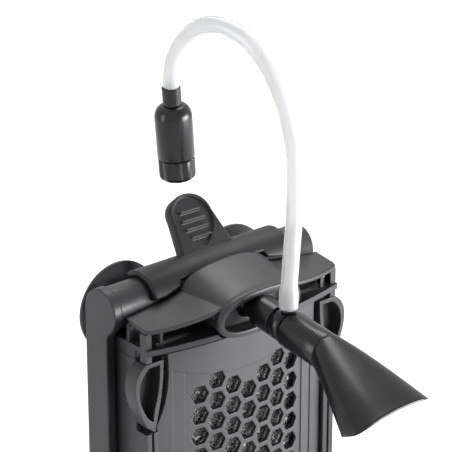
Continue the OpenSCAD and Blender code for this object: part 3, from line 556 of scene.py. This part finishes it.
def wing_rings(side):
    """One wing: a sheet from the barrel out to the side, with a rounded front edge."""
    rings = []
    for i in range(WING_STEPS + 1):
        x = lerp(WING_INNER, BODY_HW, i / WING_STEPS)
        front = wing_front(x)
        ys = [front + 0.25]
        ys += [lerp(front + 0.8, REAR_Y, k / WING_DEPTH_STEPS) for k in range(WING_DEPTH_STEPS + 1)]
        top = [(side * x, y, wing_z(x, y)) for y in ys]
        under = [(side * x, y, z - WING_T) for _, y, z in reversed(top)]
        if x < BARREL_HW:
            # Over the barrel the underside stays out of its bore
            bore_h = oval_h(x, BARREL_HW - BARREL_WALL, BARREL_HH - BARREL_WALL)
            under = [
                (q, y, max(z, min(base_z(y) + bore_h + 0.3, z + WING_T - 0.3)))
                for q, y, z in under
            ]
        middle = top[0][2] - WING_T / 2
        nose = [(side * x, front, middle + h) for h in (-WING_NOSE_H, WING_NOSE_H)]
        rings.append(top + under + nose)
    return rings


def rear_wall_rings(side):
    """The wall that closes the head's rear below a wing."""
    rings = []
    for i in range(REAR_WALL_STEPS + 1):
        x = lerp(DOME_HW - 3, BODY_HW, i / REAR_WALL_STEPS)
        top = base_z(REAR_Y) + wing_h(x) - WING_T / 2
        inner, outer = REAR_Y - REAR_WALL_T, REAR_Y - 0.02
        corners = [(inner, LEDGE_TOP), (inner, top - 0.2), (outer, top), (outer, LEDGE_TOP)]
        rings.append([(side * x, y, z) for y, z in corners])
    return rings


def make_cover():
    """The head: barrel with its lip, dome, and two wings that sweep up to them."""
    bm = bmesh.new()
    capped_loft(bm, barrel_rings())
    capped_loft(bm, dome_rings())
    for side in (-1, 1):
        capped_loft(bm, wing_rings(side))
        capped_loft(bm, rear_wall_rings(side))
    cover = object_from(bm, "head_shell", "matt_black")
    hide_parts("head_cover")
    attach(cover, "filter")


# ------------------------------------------------------------------- lever

TUBE_Y, TUBE_Z, TUBE_R = 6.7, 182.0, 8.05
SADDLE_R, SADDLE_HW, SADDLE_REAR = 10.35, 32.4, math.radians(132)
SADDLE_EDGE, SADDLE_STEPS, SADDLE_ARC_STEPS = 0.5, 162, 26
HEAD_CLEARANCE = 0.6
# Range of the front edge's angle, in half degrees
FRONT_LOW, FRONT_HIGH = 28, 200
TAB_LEAN = math.radians(41)
TAB_L, TAB_ROOT_HW, TAB_HW, TAB_TIP, TAB_T = 22.2, 12.0, 9.3, 8.0, 4.2
# The root widens by a little below a height, and the tab starts inside the saddle
TAB_FLARE, TAB_FLARE_H, TAB_SUNK = 1.6, 2.5, 3
TAB_ROWS, TAB_COLUMNS, TAB_TIP_POWER, TAB_CROWDING = 104, 72, 2.3, 1.35
# Rounding of the side edges: its depth, and where it starts and how wide it is in shares
RIM_DEPTH, RIM_START, RIM_SHARE = 0.5, 0.94, 0.06
PAD_FOOT, PAD_WIDE, PAD_HEAD, PAD_HW, PAD_DEPTH = 1.0, 12.6, 21.3, 8.6, 1.1
PAD_EDGE = 0.9
# Each rib's height up the tab and its half width
RIBS = [(5.6, 4.4), (9.0, 5.2), (12.4, 5.4), (15.8, 4.6)]
RIB_HALF, RIB_EDGE, RIB_END, RIB_PROUD = 0.75, 0.5, 0.6, 0.15


def saddle_front(x):
    """Angle at which the saddle's front edge clears the head at x."""
    for step in range(FRONT_LOW, FRONT_HIGH):
        a = math.radians(step / 2)
        y = TUBE_Y - SADDLE_R * math.cos(a)
        z = TUBE_Z + TUBE_R * math.sin(a)
        if y > REAR_Y + HEAD_CLEARANCE or z > cover_z(x, y) + HEAD_CLEARANCE:
            return a
    return math.radians(FRONT_HIGH / 2)


def saddle_rings():
    """The saddle: part of a tube, with its front edge arched over the head."""
    rings = []
    for i in range(SADDLE_STEPS + 1):
        x = lerp(-SADDLE_HW, SADDLE_HW, i / SADDLE_STEPS)
        front = saddle_front(x)
        past = max(0.0, (abs(x) - SADDLE_HW + SADDLE_EDGE) / SADDLE_EDGE)
        slim = SADDLE_EDGE * (1 - math.sqrt(max(0.0, 1 - past ** 2)))
        ring = []
        for radius, turn, inset in ((SADDLE_R - slim, 1, 0.02), (TUBE_R + 0.1, -1, 0.0)):
            for t in [k / SADDLE_ARC_STEPS for k in range(SADDLE_ARC_STEPS + 1)][::turn]:
                a = lerp(front + inset, SADDLE_REAR - inset, t)
                ring.append((x, TUBE_Y - radius * math.cos(a), TUBE_Z + radius * math.sin(a)))
        rings.append(ring)
    return rings


def pad_h(s, x):
    """Height of the tab's front face: sunk in the pad, raised on its ribs."""
    if s <= PAD_FOOT or s >= PAD_HEAD:
        return 0.0
    if s < PAD_WIDE:
        half = PAD_HW * math.sin(math.pi / 2 * (s - PAD_FOOT) / (PAD_WIDE - PAD_FOOT)) ** 0.8
    else:
        half = PAD_HW * math.sqrt(max(0.0, 1 - ((s - PAD_WIDE) / (PAD_HEAD - PAD_WIDE)) ** 2))
    h = -PAD_DEPTH * smooth((half - abs(x)) / PAD_EDGE)
    for at, hw in RIBS:
        along = smooth((RIB_HALF - abs(s - at)) / RIB_EDGE)
        h += PAD_DEPTH * along * smooth((hw + 0.4 - abs(x)) / RIB_END)
    return min(h, RIB_PROUD)


def tab_point(x, s, d):
    """A point of the tab: s up along it from the saddle's top, d out of its front."""
    c, q = math.cos(TAB_LEAN), math.sin(TAB_LEAN)
    return (x, TUBE_Y + s * q - d * c, TUBE_Z + SADDLE_R + s * c + d * q)


def tab_half(s):
    """Half width of the tab at s: flared root, tapering sides, half-oval tip."""
    tip = TAB_L - TAB_TIP
    if s >= tip:
        return TAB_HW * math.sqrt(max(0.0, 1 - ((s - tip) / TAB_TIP) ** TAB_TIP_POWER))
    side = lerp(TAB_ROOT_HW, TAB_HW, max(0.0, s) / tip)
    if s < TAB_FLARE_H:
        side += TAB_FLARE * ((TAB_FLARE_H - s) / (2 * TAB_FLARE_H)) ** 2
    return side


def tab_rings():
    """The tab: a plate whose front face carries the pad and its ribs."""
    shares = [lerp(-1, 1, k / TAB_COLUMNS) for k in range(TAB_COLUMNS + 1)]
    rims = [RIM_DEPTH * max(0.0, abs(u) - RIM_START) / RIM_SHARE for u in shares]
    rings = []
    for i in range(TAB_ROWS + 1):
        s = -TAB_SUNK + (TAB_L + TAB_SUNK) * (1 - (1 - i / TAB_ROWS) ** TAB_CROWDING)
        half = max(tab_half(s), 0.25)
        xs = [u * half for u in shares]
        front = [tab_point(x, s, pad_h(s, x) - rim) for x, rim in zip(xs, rims)]
        back = [tab_point(x, s, -TAB_T + rim) for x, rim in zip(xs, rims)]
        rings.append(front + back[::-1])
    return rings


def make_lever():
    """The release lever: a saddle over the tube, arched over the head, with its thumb tab."""
    bm = bmesh.new()
    capped_loft(bm, saddle_rings())
    capped_loft(bm, tab_rings())
    lever = object_from(bm, "lever", "matt_black", "lever_black")
    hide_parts("release_lever")
    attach(lever, "lever")


# --------------------------------------------------------- bracket and clips

# What comes off the bracket: all beyond the tube's plain end, above the seam
TUBE_END_X, SEAM_Z = 44.4, 167.1
CUT_X, CUT_Y, CUT_Z = (TUBE_END_X, 60.0), (-10.0, 40.0), (SEAM_Z, 200.0)
CLIP_TOP, CLIP_H, CLIP_BULGE = 166.9, 27.4, 4.8
CLIP_IN, CLIP_TIP_IN = 7.8, 2.6
CURVE_STEPS = 14
WEB_REAR, WEB_T, WEB_INSET = -7.3, 1.0, 0.9


def make_bracket():
    """The wall bracket: the CAD solid's shape with the tube's plain end on the right."""
    bracket = copy_of("wall_bracket", "bracket_frame", "bracket_black")
    (near, far), (foot, top) = CUT_Y, CUT_Z
    corners = [(near, foot), (far, foot), (far, top), (near, top)]
    bm = bmesh.new()
    capped_loft(bm, [[(x, y, z) for y, z in corners] for x in CUT_X])
    carve(bracket, bm)
    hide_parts("wall_bracket")
    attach(bracket, "bracket")


def bezier_run(*points):
    """Points along a cubic Bezier curve, without its last."""
    a, b, c, d = [Vector(p) for p in points]
    return [
        (1 - t) ** 3 * a + 3 * (1 - t) ** 2 * t * b + 3 * (1 - t) * t * t * c + t ** 3 * d
        for t in (k / CURVE_STEPS for k in range(CURVE_STEPS))
    ]


def leaf(inset):
    """Front view of a squeeze clip on the right, drawn in by an inset."""
    top, low = CLIP_TOP - inset, CLIP_TOP - CLIP_H
    out, inner = BODY_HW + 0.2 - inset, BODY_HW - CLIP_IN + inset
    tip, tip_z = BODY_HW - CLIP_TIP_IN, low + 2.6 * inset
    far = BODY_HW + 1.36 * CLIP_BULGE + 1 - 1.25 * inset
    outside = bezier_run(
        (out, top), (far, top - 4.6), (far - 1.6, top - 14), (tip + 1 - 0.4 * inset, tip_z)
    )
    inside = bezier_run(
        (tip - 1 + 0.4 * inset, tip_z), (tip - 2.6 + inset, tip_z + 8),
        (inner + 0.2, top - 14), (inner, top),
    )
    return outside + inside + [Vector((inner, top))]


def make_clip_webs():
    """The web that closes the back of each squeeze clip."""
    edge = leaf(WEB_INSET)
    for side, body in ((-1, "clip_l"), (1, "clip_r")):
        bm = bmesh.new()
        planes = (WEB_REAR - WEB_T, WEB_REAR)
        capped_loft(bm, [[(side * p.x, y, p.y) for p in edge] for y in planes])
        web = object_from(bm, "web_" + body, "matt_black", "lever_black")
        for face in web.data.polygons:
            face.use_smooth = False
        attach(web, body)


# ------------------------------------------------------------------ nozzle

PIPE_SLOPE = math.radians(6.9)
# (y, z) on the pipe's axis where the collar and the fan start
COLLAR_FOOT, FAN_START = (-33.0, 177.04), (-56.4, 174.21)
COLLAR_R = 6.75
# The collar's section: distance along the pipe, radius; the groove holds the dark ring
COLLAR_PROFILE = [
    (0.0, 5.2), (0.0, 5.95), (0.25, 6.15), (4.0, 6.15), (4.2, 5.9), (4.25, 5.3), (5.0, 5.3),
    (5.05, 6.3), (5.35, 6.7), (5.8, 6.75), (12.0, 6.75), (18.0, 6.75), (23.4, 6.75),
    (23.5, 6.7), (23.5, 5.2), (12.0, 5.2),
]
FAN_L, FAN_HW, FAN_HH, FAN_DROP, FAN_WALL = 30.0, 17.6, 2.6, 8.9, 1.0
FAN_LEAN, FAN_ARCH, FAN_TWIST = 2.2, 2.4, math.radians(4)
# How fast the fan widens, flattens, drops and turns square
FAN_WIDEN, FAN_FLATTEN, FAN_FALL, FAN_SQUARE = 0.92, 1.25, 1.35, 2.4
FAN_STEPS, RING_SIDES = 30, 72


def fan_ring(t, inset):
    """One section of the nozzle: round at the collar, a wide arched slot at the mouth."""
    hw = COLLAR_R + (FAN_HW - COLLAR_R) * t ** FAN_WIDEN - inset
    hh = COLLAR_R - (COLLAR_R - FAN_HH) * (1 - (1 - t) ** FAN_FLATTEN) - inset
    start_lean = math.tan(PIPE_SLOPE)
    lean = start_lean + (FAN_LEAN - start_lean) * t * t
    y = FAN_START[0] - FAN_L * t
    z = FAN_START[1] - FAN_L * t * start_lean - FAN_DROP * t ** FAN_FALL
    ring = []
    for x, h in oval_points(hw, hh, 2 + FAN_SQUARE * t, RING_SIDES):
        rise = h + FAN_ARCH * t * (0.5 - (x / hw) ** 2) + x * math.tan(FAN_TWIST) * t
        ring.append((x, y - lean * h, z + rise))
    return ring


def pipe_ring(w, r):
    """A circle about the pipe's axis, w in front of the swivel."""
    c, q = math.cos(PIPE_SLOPE), math.sin(PIPE_SLOPE)
    y, z = COLLAR_FOOT
    ring = []
    for a in turn_steps(RING_SIDES):
        up = r * math.sin(a)
        ring.append((r * math.cos(a), y - w * c - up * q, z - w * q + up * c))
    return ring


def make_nozzle():
    """The wide jet: a thin-walled fan that turns down to a hooded mouth, and its collar."""
    bm = bmesh.new()
    outer = [fan_ring(i / FAN_STEPS, 0) for i in range(FAN_STEPS + 1)]
    inner = [fan_ring(i / FAN_STEPS, FAN_WALL) for i in range(FAN_STEPS, -1, -1)]
    looped_loft(bm, outer + inner)
    nozzle = object_from(bm, "nozzle_fan", "gloss_black")
    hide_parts("jet_nozzle")
    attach(nozzle, "nozzle")
    bm = bmesh.new()
    looped_loft(bm, [pipe_ring(w, r) for w, r in COLLAR_PROFILE])
    collar = object_from(bm, "collar", "gloss_black")
    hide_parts("swivel_collar")
    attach(collar, "nozzle")


# ------------------------------------------------------------------- valve

VALVE_LEAN = math.radians(4.5)
# Distances down the valve from the end of the hose
VALVE_TOP, VALVE_SEAM, VALVE_END = 6.7, 26.75, 35.0
VALVE_R, VALVE_SIDES = 6.75, 120
SHOULDER_R, SHOULDER_H, SHOULDER_STEPS = 3.3, 4.6, 12
SLOT_HW, SLOT_Y, SLOT_Z = 3.5, (-8.0, -5.4), (11.7, 13.1)
FLUTES, FLUTE_DEPTH, FLUTE_POWER = 10, 0.5, 1.5
# Rounding of the knob's end: along it, across it, how much of the flutes it takes, steps
ROUND_L, ROUND_R, ROUND_FADE, ROUND_STEPS = 2.2, 1.8, 0.8, 8


def valve_point(x, y, z):
    """A point of the valve, whose own z runs down from the end of the hose."""
    c, q = math.cos(VALVE_LEAN), math.sin(VALVE_LEAN)
    return tuple(Vector((x * c + z * q, -y, x * q - z * c)) + Vector(HOSE_PATH[-1]))


def valve_rings(profile, flutes=0):
    """Rings about the valve's axis through (z, radius, share of the flutes' depth)."""
    rings = []
    for z, r, share in profile:
        ring = []
        for a in turn_steps(VALVE_SIDES):
            wave = (0.5 + 0.5 * math.cos(flutes * a)) ** FLUTE_POWER
            sunk = r - share * FLUTE_DEPTH * wave
            ring.append(valve_point(sunk * math.cos(a), sunk * math.sin(a), z))
        rings.append(ring)
    return rings


def body_profile():
    """The valve's body: an oval shoulder, straight sides, a slight round at the seam."""
    profile = []
    for k in range(SHOULDER_STEPS + 1):
        a = math.pi / 2 * k / SHOULDER_STEPS
        z = VALVE_TOP + SHOULDER_H * (1 - math.cos(a))
        profile.append((z, SHOULDER_R + (VALVE_R - SHOULDER_R) * math.sin(a), 0))
    seam = [(0.45, 0.0), (0.2, 0.1), (0.1, 0.4)]
    return profile + [(VALVE_SEAM - up, VALVE_R - sunk, 0) for up, sunk in seam]


def knob_profile():
    """The knob: a slight round at the seam, fluted sides, a rounded end."""
    seam = [(0.15, 0.4, 0), (0.25, 0.1, 0.6), (0.6, 0.0, 1)]
    profile = [(VALVE_SEAM + down, VALVE_R - sunk, share) for down, sunk, share in seam]
    profile.append((VALVE_END - ROUND_L, VALVE_R, 1))
    for k in range(1, ROUND_STEPS + 1):
        a = math.pi / 2 * k / ROUND_STEPS
        z, r = VALVE_END - ROUND_L * (1 - math.sin(a)), VALVE_R - ROUND_R * (1 - math.cos(a))
        profile.append((z, r, 1 - ROUND_FADE * math.sin(a)))
    return profile


def make_valve():
    """The valve's round-shouldered body with its air slot, and the fluted knob below it."""
    bm = bmesh.new()
    capped_loft(bm, valve_rings(body_profile()))
    body = object_from(bm, "valve_shell", "gloss_black")
    out, deep = SLOT_Y
    corners = [(-SLOT_HW, out), (SLOT_HW, out), (SLOT_HW, deep), (-SLOT_HW, deep)]
    bm = bmesh.new()
    capped_loft(bm, [[valve_point(x, y, z) for x, y in corners] for z in SLOT_Z])
    carve(body, bm)
    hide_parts("valve_body")
    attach(body, "nozzle")
    bm = bmesh.new()
    capped_loft(bm, valve_rings(knob_profile(), FLUTES))
    knob = object_from(bm, "knob", "gloss_black")
    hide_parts("valve_knob")
    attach(knob, "knob")


# -------------------------------------------------------------------- foam

# In metres; the level is above 1, so that the surface only moves inwards
FOAM_VOXEL, FOAM_CELL, FOAM_DEPTH = 0.0011, 0.0024, 0.0009
FOAM_LEVEL = 1.3


def make_foam():
    """The foam block: the CAD solid's shape, remeshed and roughened into open cells."""
    foam = copy_of("foam_block", "foam", "foam")
    remesh = foam.modifiers.new("remesh", "REMESH")
    remesh.mode = "VOXEL"
    remesh.voxel_size = FOAM_VOXEL
    cells = bpy.data.textures.new("foam_cells", "VORONOI")
    cells.noise_scale = FOAM_CELL
    cells.distance_metric = "DISTANCE"
    rough = foam.modifiers.new("rough", "DISPLACE")
    rough.texture = cells
    rough.texture_coords = "LOCAL"
    rough.mid_level = FOAM_LEVEL
    rough.strength = FOAM_DEPTH
    apply_modifiers(foam)
    for face in foam.data.polygons:
        face.use_smooth = True
    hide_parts("foam_block")
    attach(foam, "filter")


# ------------------------------------------------------------------ studio

WHITE = (1.0, 1.0, 1.0, 1.0)
SKY_LIGHT, SKY_STRENGTH = (0.95, 0.97, 1.0, 1.0), 0.42
FLOOR_HALF = 6.0  # metres
FLOOR_COLOUR, FLOOR_GLOW = (0.86, 0.86, 0.86, 1.0), 0.45
SEEN_RAYS = ("Is Camera Ray", "Is Glossy Ray", "Is Transmission Ray")
LAMP_TARGET = (0.0, 0.0, 0.15)
# Place, size and power, in metres and watts: one above and behind, a strong low one at the
# front right, a weak one at the left
LAMPS = {
    "top": ((0.3, 0.3, 1.05), (0.7, 0.5), 6.5),
    "front_low": ((0.72, -0.85, 0.12), (0.8, 0.5), 34.0),
    "left": ((-1.1, 0.3, 0.35), (0.4, 0.7), 4.0),
}


def seen_mix(tree, lights, seen):
    """A shader that is one node for rays that light, and the other where it is seen."""
    rays = add(tree, "ShaderNodeLightPath")
    share = rays.outputs[SEEN_RAYS[0]]
    for kind in SEEN_RAYS[1:]:
        join = add(tree, "ShaderNodeMath", operation="MAXIMUM")
        tree.links.new(share, join.inputs[0])
        tree.links.new(rays.outputs[kind], join.inputs[1])
        share = join.outputs[0]
    mix = add(tree, "ShaderNodeMixShader")
    tree.links.new(share, mix.inputs[0])
    tree.links.new(lights.outputs[0], mix.inputs[1])
    tree.links.new(seen.outputs[0], mix.inputs[2])
    return mix


def make_world():
    """White where it is seen or mirrored, plain and soft where it lights."""
    world = bpy.data.worlds.new("studio")
    bpy.context.scene.world = world
    world.use_nodes = True
    tree = world.node_tree
    tree.nodes.clear()
    seen = add(tree, "ShaderNodeBackground", Color=WHITE, Strength=1.0)
    lights = add(tree, "ShaderNodeBackground", Color=SKY_LIGHT, Strength=SKY_STRENGTH)
    out = add(tree, "ShaderNodeOutputWorld")
    tree.links.new(seen_mix(tree, lights, seen).outputs[0], out.inputs[0])


def make_floor():
    """A wide pale floor, brighter where it is seen or mirrored, that keeps its shadows."""
    bm = bmesh.new()
    corners = [(-1, -1), (1, -1), (1, 1), (-1, 1)]
    bm.faces.new([bm.verts.new((x * FLOOR_HALF, y * FLOOR_HALF, 0.0)) for x, y in corners])
    mesh = bpy.data.meshes.new("floor")
    bm.to_mesh(mesh)
    bm.free()
    floor = put("floor", mesh)
    material, tree, shader = new_material("floor")
    shader.inputs["Base Color"].default_value = FLOOR_COLOUR
    shader.inputs["Roughness"].default_value = 0.9
    shader.inputs["Specular IOR Level"].default_value = 0.1
    glow = add(tree, "ShaderNodeEmission", Color=WHITE, Strength=FLOOR_GLOW)
    both = add(tree, "ShaderNodeAddShader")
    tree.links.new(shader.outputs[0], both.inputs[0])
    tree.links.new(glow.outputs[0], both.inputs[1])
    mix = seen_mix(tree, shader, both)
    tree.links.new(mix.outputs[0], tree.nodes["Material Output"].inputs["Surface"])
    mesh.materials.append(material)


def make_lamps():
    """Soft rectangular lamps that face the middle of the object."""
    for name, (at, size, power) in LAMPS.items():
        data = bpy.data.lights.new(name, "AREA")
        data.shape = "RECTANGLE"
        data.size, data.size_y = size
        data.energy = power
        aim(put(name, data), at, LAMP_TARGET)


# ---------------------------------------------------------------- assembly

bpy.context.scene.view_settings.view_transform = "Standard"
make_camera()
dress_nodes()
make_valve()
make_hose()
make_cover()
make_lever()
make_bracket()
make_clip_webs()
make_nozzle()
make_foam()
make_world()
make_floor()
make_lamps()
